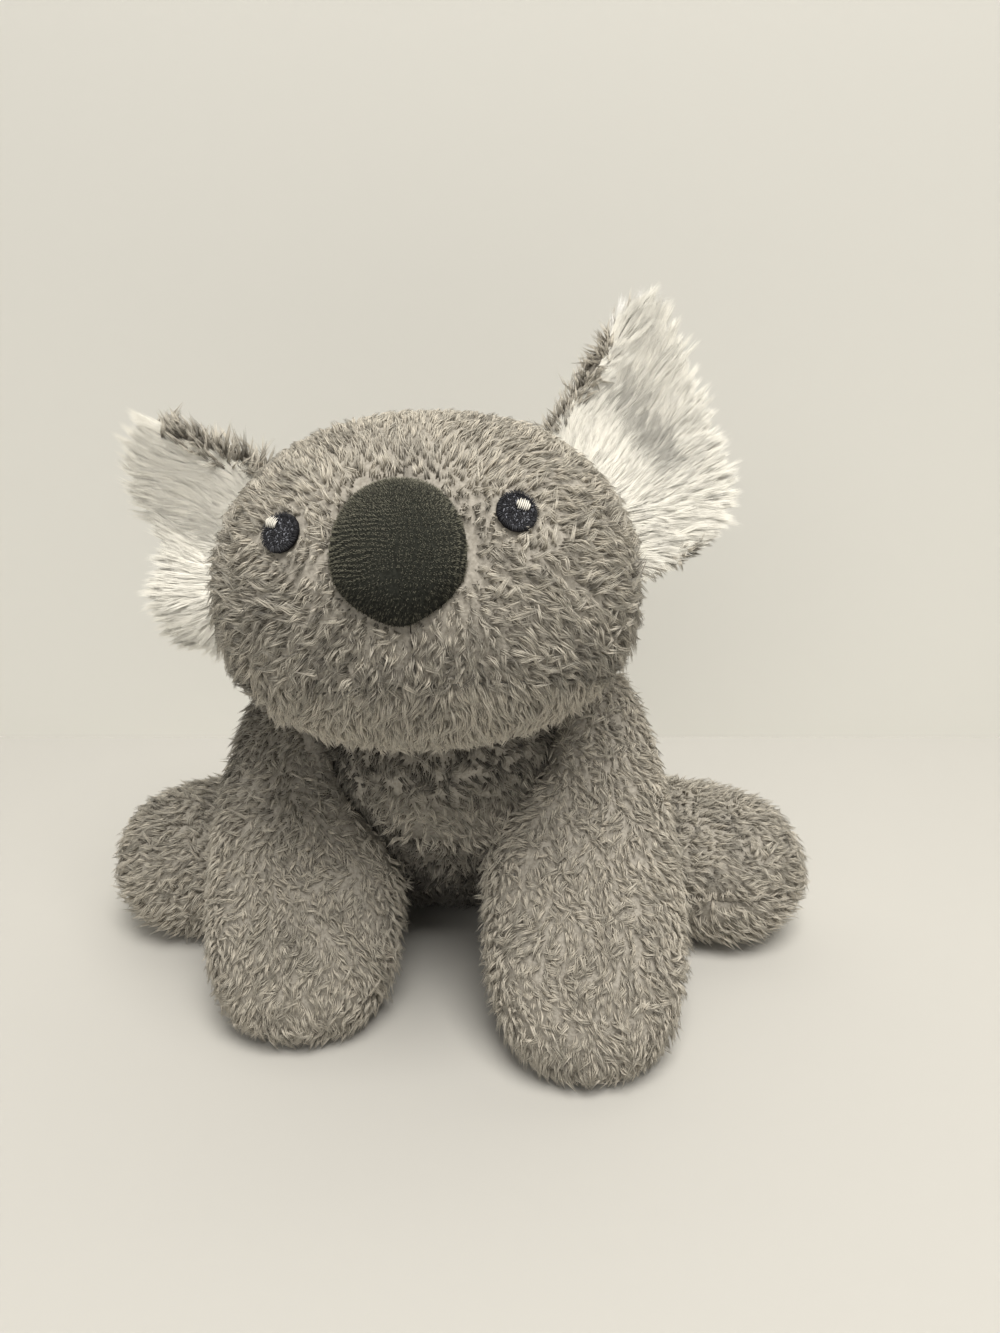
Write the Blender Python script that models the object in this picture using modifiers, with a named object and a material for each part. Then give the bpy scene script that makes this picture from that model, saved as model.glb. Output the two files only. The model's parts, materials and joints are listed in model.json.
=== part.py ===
"""Plush koala on all fours: sewn skin panels over loose fibre stuffing, in metres, +Z up, facing -Y.

The origin is under the middle of the toy, on the surface it stands on. Left and right are the toy's own.
"""

import math

import bmesh
import bpy
from mathutils import Matrix, Vector

# Cloth thickness, the gap between touching pieces, and clearances of the neck, the ears and the limbs
WALL = 0.0020
GAP = 0.0004
RUN = 0.0008
LIMB_RUN = 0.0022

# Head: a wide ball tipped back to look up, with its ear line and chin line in its own frame
HEAD_AT = Vector((-0.0054, -0.0277, 0.1470))
HEAD_HALF = (0.0600, 0.0465, 0.0470)
HEAD_PITCH = 23.0
HEAD_ROLL = 4.5
HEAD_YAW = -3.0
HEAD_TAPER = -0.045
EAR_LINE = 0.012
CHIN_LINE = -0.031

# Neck: a ball of packed fibre, with the trunk hollowed under the head so that the head can tip and turn
NECK_AT = Vector((-0.0029, -0.0047, 0.1050))
NECK_R = 0.0140
NECK_CLEAR = 0.0060

# Trunk: a pear from the neck down to the rump
TRUNK_ENDS = (Vector((-0.0029, -0.0207, 0.1100)), Vector((-0.0009, 0.0703, 0.0060)))
TRUNK_HALF = (0.0490, 0.0380)
TRUNK_TAPER = 0.16

# Arms: plump pads, each from its hidden root to its paw
ARM_HALF = (0.0287, 0.0205)
ARM_TAPER = 0.24
ARM_BEND = 0.0040
ARM_FULL = 2.8
ARM_ENDS = {
    "left": (Vector((0.0406, 0.0233, 0.1040)), Vector((0.0426, -0.0607, 0.0030))),
    "right": (Vector((-0.0504, 0.0233, 0.1000)), Vector((-0.0484, -0.0427, 0.0025))),
}
SHOULDER = {"left": Vector((0.0391, 0.0033, 0.0860)), "right": Vector((-0.0409, 0.0033, 0.0860))}
ARM_SWING = (-6.0, 20.0)

# Legs: each lies out sideways on the floor, from its hidden root to its foot
LEG_HALF = (0.0258, 0.0258)
LEG_TAPER = 0.18
LEG_FULL = 2.4
LEG_ENDS = {
    "left": (Vector((0.0331, 0.0473, 0.0245)), Vector((0.1226, 0.0113, 0.0255))),
    "right": (Vector((-0.0349, 0.0493, 0.0245)), Vector((-0.1229, 0.0173, 0.0255))),
}
HIP = {"left": Vector((0.0491, 0.0423, 0.0260)), "right": Vector((-0.0509, 0.0423, 0.0260))}
LEG_SWING = (-4.0, 12.0)

# Nose: a short-napped dome like a shield, widest low down and drawn in to a blunt point
NOSE_HALF = (0.0180, 0.0186, 0.0120)
NOSE_TAPER = -0.05
NOSE_FULL = 2.2
NOSE_PINCH = 0.85
NOSE_DROP = 0.0036
NOSE_AIM = (-2.6, 3.4)
NOSE_SINK = 0.0040

# Eyes: embroidered discs with a small glint, placed by angles across and up the face
EYE_R = 0.0053
EYE_THICK = 0.0010
EYE_AIM = {"left": (33.9, 11.4), "right": (-38.5, 9.9)}
GLINT_R = 0.0017
GLINT_THICK = 0.0005
GLINT_SHIFT = {"left": (0.0014, 0.0014), "right": (-0.0020, 0.0026)}

# Ears: two sheets sewn back to back along the head's ear line, between two angles up from the side,
# with a full lower lobe and a crease above it.
# Each rim point is (up the seam, out from it, forward, swell midway to it), low end first
EAR_SHEET = 0.0020
EAR_FOLD = 20.0
EAR_RISE = 0.0040
EAR_ROWS = (-0.22, 0.08, 0.40, 0.72, 1.0)
EARS = {
    "left": {
        "seam": (-4.0, 58.0),
        "out": Vector((0.857, 0.177, 0.487)),
        "rim": (
            (-0.0280, 0.0230, 0.0000, -0.0030),
            (-0.0160, 0.0360, 0.0010, 0.0030),
            (0.0070, 0.0425, -0.0060, -0.0090),
            (0.0280, 0.0500, 0.0010, -0.0100),
            (0.0440, 0.0475, 0.0050, -0.0040),
        ),
    },
    "right": {
        "seam": (-18.0, 50.0),
        "out": Vector((-0.937, 0.120, 0.329)),
        "rim": (
            (-0.0280, 0.0180, -0.0040, -0.0030),
            (-0.0190, 0.0265, 0.0020, 0.0020),
            (-0.0055, 0.0240, -0.0110, -0.0090),
            (0.0110, 0.0455, 0.0020, -0.0060),
            (0.0310, 0.0415, 0.0090, -0.0030),
        ),
    },
}

# Cage of a stuffed form: how far smoothing draws it in, by the number of cuts across each side
CAGE_DRAW = {1: 0.835, 2: 0.915}
BLOCK = 0.40
BALL_SEGMENTS = 14
BALL_RINGS = 8
DISC_SEGMENTS = 16

FUR_GREY = (0.330, 0.305, 0.280)
FUR_CREAM = (0.820, 0.790, 0.720)
NAP_CHARCOAL = (0.075, 0.080, 0.072)
THREAD_BLACK = (0.020, 0.021, 0.026)
THREAD_CREAM = (0.800, 0.770, 0.690)
FIBRE_WHITE = (0.850, 0.840, 0.810)

ACROSS = Vector((1.0, 0.0, 0.0))
ALONG = Vector((0.0, 1.0, 0.0))
UP = Vector((0.0, 0.0, 1.0))
FLOOR = Vector((0.0, 0.0, 0.0))


def clear_scene():
    for obj in list(bpy.data.objects):
        bpy.data.objects.remove(obj)


def new_collection(name, shown):
    made = bpy.data.collections.new(name)
    made.hide_render = not shown
    bpy.context.scene.collection.children.link(made)
    return made


def new_material(name, colour, roughness):
    made = bpy.data.materials.new(name)
    made.use_nodes = True
    shader = made.node_tree.nodes["Principled BSDF"]
    shader.inputs["Base Color"].default_value = (*colour, 1.0)
    shader.inputs["Roughness"].default_value = roughness
    shader.inputs["Metallic"].default_value = 0.0
    return made


def aim(start, end, side):
    """A frame midway from start to end, with Z towards the end and X nearest to side."""
    z = (end - start).normalized()
    y = z.cross(side).normalized()
    x = y.cross(z)
    turn = Matrix((x, y, z)).transposed().to_4x4()
    return Matrix.Translation((start + end) / 2) @ turn


def about(pivot, axis, degrees):
    """The turn by an angle about an axis through a pivot."""
    turn = Matrix.Rotation(math.radians(degrees), 4, axis)
    return Matrix.Translation(pivot) @ turn @ Matrix.Translation(-pivot)


class Form:
    """A stuffed form: a ball cage stretched to half sizes, tapered and bent along its own Z.

    A pinch draws its lower end in to a point, and a drop lowers its widest part.
    """

    def __init__(self, half, place, taper=0.0, bend=0.0, full=2.0, cuts=1, pinch=0.0, drop=0.0):
        self.half = half
        self.place = place
        self.taper = taper
        self.bend = bend
        self.full = full
        self.cuts = cuts
        self.pinch = pinch
        self.drop = drop

    def point(self, ray, grow):
        """The surface point on a ray from the middle, in the form's own frame."""
        reach = sum(abs(c) ** self.full for c in ray) ** (-1 / self.full)
        x, y, z = ray * reach
        swell = 1 + self.taper * z
        drawn = 1 - self.pinch * max(-z, 0.0) ** 2
        wide, thick, long = self.half
        return Vector(
            (
                x * (wide * swell * drawn + grow),
                y * (thick * swell + grow) + self.bend * (z * z - 0.5),
                z * (long + grow) + self.drop * (z * z - 1),
            )
        )

    def cage(self, name, grow=0.0, turn=Matrix()):
        mesh = bpy.data.meshes.new(name)
        bm = bmesh.new()
        bmesh.ops.create_cube(bm, size=2)
        bmesh.ops.subdivide_edges(bm, edges=bm.edges, cuts=self.cuts, use_grid_fill=True)
        for vert in bm.verts:
            spread = self.point(vert.co.normalized(), grow)
            vert.co = turn @ self.place @ (spread / CAGE_DRAW[self.cuts])
        bm.to_mesh(mesh)
        bm.free()
        mesh.shade_smooth()
        return mesh


def limb(half, ends, side, taper, bend, full):
    long = (ends[1] - ends[0]).length / 2
    return Form((*half, long), aim(*ends, side), taper, bend, full)


class Maker:
    """Adds the pieces to one collection and the cutters to another."""

    def __init__(self):
        self.parts = new_collection("plush_koala", True)
        self.cutters = new_collection("cutters", False)

    def piece(self, name, mesh, material, body):
        obj = bpy.data.objects.new(name, mesh)
        self.parts.objects.link(obj)
        mesh.materials.append(material)
        obj.parent = body
        obj.matrix_parent_inverse = body.matrix_world.inverted()
        return obj

    def cutter(self, name, mesh):
        obj = bpy.data.objects.new(name, mesh)
        self.cutters.objects.link(obj)
        obj.hide_render = True
        obj.display_type = "WIRE"
        return obj

    def body(self, name, at, parent=None):
        """The empty that stands on a moving body's joint."""
        obj = bpy.data.objects.new(name, None)
        self.parts.objects.link(obj)
        obj.empty_display_size = 0.02
        if parent:
            obj.parent = parent
            at = at - parent.matrix_world.translation
        obj.location = at
        bpy.context.view_layer.update()
        return obj

    def form_cutter(self, name, form, grow, turn=Matrix()):
        obj = self.cutter(name, form.cage(name, grow, turn))
        soften(obj, 1)
        return obj

    def ball_cutter(self, name, at, radius):
        return self.cutter(name, ball_mesh(name, at, radius))

    def block(self, name, at, normal):
        """A large block that fills the side of a plane which the normal points to."""
        mesh = bpy.data.meshes.new(name)
        bm = bmesh.new()
        turn = normal.to_track_quat("Z", "Y").to_matrix().to_4x4()
        lift = Matrix.Translation((0.0, 0.0, BLOCK / 2))
        bmesh.ops.create_cube(bm, size=BLOCK, matrix=Matrix.Translation(at) @ turn @ lift)
        bm.to_mesh(mesh)
        bm.free()
        return self.cutter(name, mesh)


def soften(obj, levels):
    """Smooths a cage, and splits each warped face along the same diagonal, so that nested forms stay apart."""
    smooth = obj.modifiers.new("Smooth", "SUBSURF")
    smooth.levels = levels
    smooth.render_levels = levels
    split = obj.modifiers.new("Split", "TRIANGULATE")
    split.quad_method = "FIXED"


def cut(obj, cutter, operation="DIFFERENCE", solver="EXACT"):
    step = obj.modifiers.new(cutter.name, "BOOLEAN")
    step.operation = operation
    step.object = cutter
    step.solver = solver


def cut_all(obj, cutters):
    """Several cuts in a row, whose surfaces lie close to each other."""
    for cutter in cutters:
        cut(obj, cutter, solver="MANIFOLD")


def ball_mesh(name, at, radius):
    mesh = bpy.data.meshes.new(name)
    bm = bmesh.new()
    bmesh.ops.create_uvsphere(
        bm, u_segments=BALL_SEGMENTS, v_segments=BALL_RINGS, radius=radius, matrix=Matrix.Translation(at)
    )
    bm.to_mesh(mesh)
    bm.free()
    mesh.shade_smooth()
    return mesh


def disc_mesh(name, place, radius, thick):
    """A stitched disc on a place's XY plane, with its upper edge drawn in."""
    mesh = bpy.data.meshes.new(name)
    bm = bmesh.new()
    lift = Matrix.Translation((0.0, 0.0, thick / 2))
    bmesh.ops.create_cone(
        bm,
        cap_ends=True,
        segments=DISC_SEGMENTS,
        radius1=radius,
        radius2=radius - thick / 2,
        depth=thick,
        matrix=place @ lift,
    )
    bm.to_mesh(mesh)
    bm.free()
    mesh.shade_smooth()
    mesh.set_sharp_from_angle(angle=math.radians(30))
    return mesh


def stuffed(maker, name, form, levels, body, cutters, panels, skin, fibre):
    """Sewn panels round a stuffing. cutters(extra) gives what is cut away, each grown by extra."""
    hollow = maker.form_cutter(name + "_hollow", form, -WALL)
    cut_all(hollow, cutters(name + "_hollow", WALL))
    outer_cutters = cutters(name + "_outer", 0.0)
    for panel, blocks in panels.items():
        obj = maker.piece(panel, form.cage(panel), skin, body)
        soften(obj, levels)
        cut_all(obj, outer_cutters)
        cut(obj, hollow)
        for block in blocks:
            cut(obj, block, "INTERSECT")
    stuffing = maker.piece(name + "_stuffing", form.cage(name + "_stuffing", -WALL - GAP), fibre, body)
    soften(stuffing, 1)
    cut_all(stuffing, cutters(name + "_fibre", WALL + GAP))


def seam_blocks(maker, name, at, normal):
    """The two sides of a seam, each drawn back by half the gap."""
    ahead = maker.block(name + "_ahead", at + normal * GAP / 2, normal)
    behind = maker.block(name + "_behind", at - normal * GAP / 2, -normal)
    return ahead, behind


def make_head(maker, form, body, skin, fibre):
    place = form.place
    middle = place.translation
    across, back, up = (place.to_3x3() @ axis for axis in (ACROSS, ALONG, UP))
    left, right = seam_blocks(maker, "middle_seam", middle, across)
    rear, front = seam_blocks(maker, "ear_seam", middle + back * EAR_LINE, back)
    above, below = seam_blocks(maker, "chin_seam", middle + up * CHIN_LINE, up)

    def cutters(name, extra):
        return [maker.ball_cutter(name + "_neck", NECK_AT, NECK_R + RUN + extra)]

    panels = {
        "head_face_left": (left, front, above),
        "head_face_right": (right, front, above),
        "head_back_panel": (rear, above),
        "head_chin_panel": (below,),
    }
    stuffed(maker, "head", form, 2, body, cutters, panels, skin, fibre)


def make_trunk(maker, form, head, body, skin, fibre):
    belly, back = seam_blocks(maker, "side_seam", form.place.translation, form.place.to_3x3() @ ALONG)

    def cutters(name, extra):
        under_head = maker.form_cutter(name + "_head", head, NECK_CLEAR + extra)
        neck = maker.ball_cutter(name + "_neck", NECK_AT, NECK_R + RUN + extra)
        floor = maker.block(name + "_floor", FLOOR + UP * extra, -UP)
        return [under_head, neck, floor]

    panels = {"torso_belly_panel": (belly,), "torso_back_panel": (back,)}
    stuffed(maker, "torso", form, 2, body, cutters, panels, skin, fibre)


def make_limb(maker, name, form, trunk, hinge, body, panels, skin, fibre):
    """A limb cut by the trunk, as the trunk lies to it at rest and at both ends of its swing."""
    pivot, axis, swing = hinge
    upper, under = seam_blocks(maker, name + "_seam", form.place.translation, form.place.to_3x3() @ ALONG)

    def cutters(cutter_name, extra):
        made = [maker.block(cutter_name + "_floor", FLOOR + UP * extra, -UP)]
        for k, degrees in enumerate((swing[0], 0.0, swing[1])):
            turn = about(pivot, axis, -degrees)
            made.append(maker.form_cutter(f"{cutter_name}_trunk_{k}", trunk, LIMB_RUN + extra, turn))
        return made

    blocks = {f"{name}_{panels[0]}_panel": (upper,), f"{name}_{panels[1]}_panel": (under,)}
    stuffed(maker, name, form, 2, body, cutters, blocks, skin, fibre)


def make_nose(maker, guide, head, body, nap, fibre):
    place = face_place(guide, head, NOSE_AIM) @ Matrix.Translation((0.0, 0.0, -NOSE_SINK))
    tall = Matrix(((1, 0, 0), (0, 0, -1), (0, 1, 0))).to_4x4()
    wide, high, deep = NOSE_HALF
    form = Form(
        (wide, deep, high),
        place @ tall.inverted(),
        taper=NOSE_TAPER,
        full=NOSE_FULL,
        cuts=2,
        pinch=NOSE_PINCH,
        drop=NOSE_DROP,
    )
    face = maker.form_cutter("nose_face", head, GAP * 2)
    cover = maker.piece("nose_cover", form.cage("nose_cover"), nap, body)
    soften(cover, 2)
    cut(cover, maker.form_cutter("nose_hollow", form, -WALL))
    cut(cover, face)
    filling = maker.piece("nose_stuffing", form.cage("nose_stuffing", -WALL - GAP), fibre, body)
    soften(filling, 1)
    cut(filling, face)


def skin_point(guide, place, ray):
    """Where a ray from the middle of a form leaves its skin, and the skin's normal there."""
    start = place.translation
    found, at, normal, _ = guide.ray_cast(start, (place.to_3x3() @ ray).normalized())
    return at, normal


def face_place(guide, head, angles):
    """A frame on the face, with Z out of it and Y up it, by angles across and up from its middle."""
    across, up = (math.radians(a) for a in angles)
    ray = Vector((math.sin(across) * math.cos(up), -math.cos(across) * math.cos(up), math.sin(up)))
    at, z = skin_point(guide, head.place, ray)
    x = (head.place.to_3x3() @ UP).cross(z).normalized()
    y = z.cross(x)
    return Matrix.Translation(at) @ Matrix((x, y, z)).transposed().to_4x4()


def main():
    clear_scene()
    maker = Maker()
    fur = new_material("fur_grey", FUR_GREY, 0.95)
    cream = new_material("fur_cream", FUR_CREAM, 0.95)
    nap = new_material("nap_charcoal", NAP_CHARCOAL, 0.90)
    black = new_material("thread_black", THREAD_BLACK, 0.55)
    white = new_material("thread_cream", THREAD_CREAM, 0.50)
    fibre = new_material("fibre_white", FIBRE_WHITE, 1.00)

    turn = (
        Matrix.Rotation(math.radians(HEAD_YAW), 4, "Z")
        @ Matrix.Rotation(math.radians(-HEAD_PITCH), 4, "X")
        @ Matrix.Rotation(math.radians(-HEAD_ROLL), 4, "Y")
    )
    head = Form(HEAD_HALF, Matrix.Translation(HEAD_AT) @ turn, taper=HEAD_TAPER, cuts=2)
    trunk = limb(TRUNK_HALF, TRUNK_ENDS, ACROSS, TRUNK_TAPER, 0.0, 2.0)

    torso_body = maker.body("torso", FLOOR)
    neck_body = maker.body("neck", NECK_AT, torso_body)
    head_body = maker.body("head", NECK_AT, neck_body)
    make_trunk(maker, trunk, head, torso_body, fur, fibre)
    maker.piece("neck_stuffing", ball_mesh("neck_stuffing", NECK_AT, NECK_R), fibre, neck_body)
    make_head(maker, head, head_body, fur, fibre)
    guide = maker.cutter("head_guide", head.cage("head_guide"))
    soften(guide, 2)
    bpy.context.view_layer.update()
    guide = guide.evaluated_get(bpy.context.evaluated_depsgraph_get())
    make_nose(maker, guide, head, head_body, nap, fibre)
    for side in ("left", "right"):
        place = face_place(guide, head, EYE_AIM[side]) @ Matrix.Translation((0.0, 0.0, GAP * 2))
        eye = disc_mesh("eye_" + side, place, EYE_R, EYE_THICK)
        maker.piece("eye_" + side, eye, black, head_body)
        shift = Matrix.Translation((*GLINT_SHIFT[side], EYE_THICK + GAP))
        glint = disc_mesh("eye_glint_" + side, place @ shift, GLINT_R, GLINT_THICK)
        maker.piece("eye_glint_" + side, glint, white, head_body)

    for side, sign in (("left", 1), ("right", -1)):
        arm = limb(ARM_HALF, ARM_ENDS[side], ACROSS, ARM_TAPER, ARM_BEND, ARM_FULL)
        arm_body = maker.body("arm_" + side, SHOULDER[side], torso_body)
        hinge = (SHOULDER[side], -ACROSS, ARM_SWING)
        make_limb(maker, "arm_" + side, arm, trunk, hinge, arm_body, ("upper", "under"), fur, fibre)
        leg = limb(LEG_HALF, LEG_ENDS[side], ALONG * sign, LEG_TAPER, 0.0, LEG_FULL)
        leg_body = maker.body("leg_" + side, HIP[side], torso_body)
        hinge = (HIP[side], UP * sign, LEG_SWING)
        make_limb(maker, "leg_" + side, leg, trunk, hinge, leg_body, ("top", "sole"), fur, fibre)
        make_ear(maker, side, sign, guide, head, head_body, fur, cream)


def make_ear(maker, side, sign, guide, head, head_body, fur, cream):
    """An ear of two sheets, cut by the head as the head lies to it at rest and at both ends of its fold."""
    ends = []
    for degrees in EARS[side]["seam"]:
        up = math.radians(degrees)
        ray = Vector((sign * HEAD_HALF[0] * math.cos(up), EAR_LINE, HEAD_HALF[2] * math.sin(up)))
        ends.append(skin_point(guide, head.place, ray)[0])
    low, high = ends
    seam = (high - low).normalized()
    out = EARS[side]["out"]
    out = (out - seam * out.dot(seam)).normalized()
    front = seam.cross(out) * -sign
    middle = (low + high) / 2 + out * EAR_RISE
    half_seam = (high - low).length / 2
    body = maker.body("ear_" + side, middle, head_body)
    cutters = []
    for k, degrees in enumerate((-EAR_FOLD, 0.0, EAR_FOLD)):
        turn = about(middle, seam, degrees)
        cutters.append(maker.form_cutter(f"ear_{side}_head_{k}", head, RUN, turn))
    for sheet, material, offset in (("back", fur, -1), ("inner", cream, 1)):
        name = f"ear_{side}_{sheet}"
        mesh = ear_mesh(name, EARS[side]["rim"], half_seam, middle, (seam, out, front))
        obj = maker.piece(name, mesh, material, body)
        soften(obj, 1)
        shell = obj.modifiers.new("Sheet", "SOLIDIFY")
        shell.thickness = EAR_SHEET
        shell.offset = offset * (1 + GAP / EAR_SHEET)
        cut_all(obj, cutters)


def ear_mesh(name, rim, half_seam, middle, axes):
    """An open sheet from inside the head out to its rim, facing forward."""
    seam, out, front = axes
    mesh = bpy.data.meshes.new(name)
    bm = bmesh.new()
    columns = len(rim) - 1
    rows = len(EAR_ROWS) - 1
    bmesh.ops.create_grid(bm, x_segments=columns, y_segments=rows, size=1)
    for vert in bm.verts:
        column = round((vert.co.x + 1) / 2 * columns)
        t = EAR_ROWS[round((vert.co.y + 1) / 2 * rows)]
        base = half_seam * (2 * column / columns - 1)
        up, away, ahead, swell = rim[column]
        dish = swell * math.sin(math.pi * max(t, 0.0))
        spot = seam * (base + (up - base) * t) + out * (away * t) + front * (ahead * t + dish)
        vert.co = middle + spot
    bm.normal_update()
    facing = sum((face.normal * face.calc_area() for face in bm.faces), Vector())
    if facing.dot(front) < 0:
        bmesh.ops.reverse_faces(bm, faces=bm.faces)
    bm.to_mesh(mesh)
    bm.free()
    mesh.shade_smooth()
    return mesh


main()
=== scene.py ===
"""Plush koala: pile sown lock by lock over the sewn panels, a napped nose, stitched eyes and silky ears."""

import json
import math
from collections.abc import Callable
from dataclasses import dataclass, replace
from itertools import product

import bmesh
import bpy
import numpy as np
from mathutils import Matrix, Vector
from mathutils.bvhtree import BVHTree


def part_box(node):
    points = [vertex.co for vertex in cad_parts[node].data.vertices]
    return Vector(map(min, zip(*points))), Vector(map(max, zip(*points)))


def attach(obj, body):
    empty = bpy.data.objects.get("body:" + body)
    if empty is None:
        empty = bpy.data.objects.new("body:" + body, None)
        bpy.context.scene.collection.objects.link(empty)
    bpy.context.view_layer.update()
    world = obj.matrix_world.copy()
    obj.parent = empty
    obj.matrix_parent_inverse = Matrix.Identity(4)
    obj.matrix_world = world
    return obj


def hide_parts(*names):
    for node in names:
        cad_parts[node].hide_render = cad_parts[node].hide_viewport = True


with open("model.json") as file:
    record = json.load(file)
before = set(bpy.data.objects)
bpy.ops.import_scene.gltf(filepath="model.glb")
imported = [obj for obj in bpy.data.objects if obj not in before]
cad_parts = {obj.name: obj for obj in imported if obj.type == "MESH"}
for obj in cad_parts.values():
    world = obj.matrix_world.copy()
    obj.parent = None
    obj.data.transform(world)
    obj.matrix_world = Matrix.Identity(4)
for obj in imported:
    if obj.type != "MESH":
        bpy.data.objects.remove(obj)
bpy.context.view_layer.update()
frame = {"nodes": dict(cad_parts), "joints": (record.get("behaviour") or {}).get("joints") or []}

MM = 0.001
SIDES = ("left", "right")
DOWN = np.array((0.0, 0.0, -1.0))
FRONT = np.array((0.0, -1.0, 0.0))

# Camera: its place in metres, its pitch down in degrees and its lens in millimetres
CAMERA_AT = (0.0151, -0.3037, 0.2220)
CAMERA_PITCH = 20.0
CAMERA_LENS = 27.0

# Room: the side of its floor and wall, how far back the wall stands, and the height over which the wall's
# tone darkens upwards, a painted shade
ROOM_SIZE = 6.0
WALL_BACK = 0.194
WALL_CHANGE = 0.35

# Places on the toy, in metres
HEAD_AT = np.array((-0.0054, -0.0277, 0.1470))
HEAD_ACROSS = np.array((0.9972, -0.0216, 0.0722))
HEAD_UP = np.array((-0.0580, 0.3931, 0.9177))
NOSE_AT = np.array((-0.0097, -0.0680, 0.1670))
NOSE_ACROSS = np.array((0.9946, -0.0565, 0.0870))
NOSE_UP = np.array((-0.0505, 0.4696, 0.8814))
PAWS = {"left": np.array((0.0426, -0.0607, 0.0030)), "right": np.array((-0.0484, -0.0427, 0.0025))}
SHOULDERS = {"left": np.array((0.0406, 0.0233, 0.1040)), "right": np.array((-0.0504, 0.0233, 0.1000))}
FEET = {"left": np.array((0.1226, 0.0113, 0.0255)), "right": np.array((-0.1229, 0.0173, 0.0255))}
HIPS = {"left": np.array((0.0331, 0.0473, 0.0245)), "right": np.array((-0.0349, 0.0493, 0.0245))}

# Face: heights above the head's middle between which the cheeks, their painted shade and the forehead set
# in, the width of the parting under the nose, and how far the pile makes room round an eye and round the
# nose
CHEEKS = (0.0120, -0.0180)
CHEEK_TONE = (0.0160, -0.0080)
FOREHEAD = (0.0100, 0.0250)
FOREHEAD_CALM = (0.0080, 0.0220)
PARTING = 0.0040
ROUND_EYE = 0.0085
ROUND_NOSE = 0.0245
SHORT_AT_NOSE = 0.0235

# Chest: its middle, half its width, and the shares of that half between which a roll fades
CHEST_MIDDLE = 0.0040
CHEST_HALF = 0.0300
CHEST_FADE = (1.05, 0.65)
# The rolls across it as (height of the lip at the middle, climb to the sides, depth, how much painted shade
# darkens it below), how far back they set in, a lip's wave, its turns, how sharp it is, how high a roll
# swells, and the heights between which the painted shadow of the head under the chin sets in
CHEST_FOLDS = ((0.0605, 0.0150, 0.0060, 0.58), (0.0472, 0.0030, 0.0042, 0.30))
CHEST_FRONT = (0.0300, 0.0200)
LIP_WAVE = 0.0006
LIP_TURNS = 330.0
LIP_SHARP = 0.0004
ROLL_HIGH = 0.0110
UNDER_CHIN = (0.0720, 0.0840)

# Limbs: heights between which a shoulder and a thigh are painted darker, a shoulder's painted shade, which
# holds the head's shadow on the toy's right, and a leg's puckers
SHOULDER_HIGH = (0.0550, 0.0850)
SHOULDER_SHADE = {"left": 0.04, "right": 0.46}
THIGH_HIGH = (0.0220, 0.0480)
PUCKER_WIDE = 0.0022
PUCKERS = (
    (np.array((0.0945, 0.0141, 0.0498)), np.array((0.0993, 0.0015, 0.0429))),
    (np.array((0.0873, -0.0012, 0.0334)), np.array((0.0924, -0.0029, 0.0300))),
)

# Ears: the way out from the head, half the seam's length, and where the upper and the lower edge end, as (up
# the seam, out from it)
EAR_OUT = {"left": np.array((0.857, 0.177, 0.487)), "right": np.array((-0.937, 0.120, 0.329))}
EAR_SEAM = {"left": 0.0246, "right": 0.0261}
EAR_TOP = {"left": (0.0440, 0.0475), "right": (0.0310, 0.0415)}
EAR_LOW = {"left": (-0.0280, 0.0230), "right": (-0.0280, 0.0180)}
# The grey brim over an ear's upper edge: how far out it goes, its width, and its pile's length as (out on
# the ear, what is added near the head)
BRIM_OUT = {"left": 0.0350, "right": 0.0370}
BRIM_WIDE = {"left": 0.0022, "right": 0.0036}
BRIM_LENGTH = {"left": (0.90, 0.0), "right": (1.15, 0.45)}
# The silk's tone as (everywhere, the painted shade added at the upper tip, and the painted shade in the
# crease), and each ear's crease as its two ends and its width
SILK_TONE = {"left": (0.02, 0.34, 0.80), "right": (0.01, 0.0, 0.52)}
EAR_CREASE = {
    "left": (np.array((0.0513, 0.0060, 0.1905)), np.array((0.0628, -0.0009, 0.1755)), 0.0065),
    "right": (np.array((-0.0815, -0.0052, 0.1600)), np.array((-0.0700, -0.0032, 0.1540)), 0.0046),
}

# Nose, in millimetres: the pitches of its nap's ribs and dots, the pulled creases as (across, up, half their
# length), and a crease's width
RIB_PITCH = 1.20
DOT_PITCH = 1.50
DARTS = ((-0.2, -8.3, 2.4), (0.2, -11.6, 1.3))
DART_WIDE = 0.75

# Eyes: their radii, the pitch of the stitches that fill them, and the rings and sides of one stitch
EYE_R = 5.3 * MM
GLINT_R = 1.75 * MM
FILL_PITCH = 0.42 * MM
GLINT_PITCH = 0.50 * MM
GLINT_SLANT = 1.15
RING_STITCHES = 66
STITCH_RINGS = 4
STITCH_SIDES = 5

# Growing: the room above a root that it needs, that in which pile has its full length, and how far room is
# measured
LEAST_ROOM = 1.5 * MM
FULL_ROOM = 8.0 * MM
FAR = 20 * MM
# How many places are tried for each lock, the least share of its length that a lock may have, and how softly
# strands end on the floor
TRIES = 3.2
LEAST_SHARE = 0.12
FLOOR_SOFT = 0.7 * MM
# Ranges of a lock's length, a strand's length and its width, as shares, of a lock's lean, in radians, and of
# how hard it is combed down
LOCK_LENGTHS = (0.72, 1.22)
STRAND_LENGTHS = (0.80, 1.05)
STRAND_WIDTHS = (0.75, 1.2)
LEANS = (0.1, 1.45)
PULLS = (0.25, 1.0)
# Where there is little room: the least share of the length, and how much further a lock leans, in degrees
CROWDED_SHARE = 0.3
CROWDED_LEAN = 25.0
# How much the tone changes from lock to lock and from strand to strand
LOCK_TONE = 0.15
STRAND_TONE = 0.06
# A lock's reach on the ground as a share of the spacing, and the short strands between locks
LOCK_REACH = 0.62
FILLER_LENGTH = 0.62
FILLER_APART = 0.9

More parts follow.
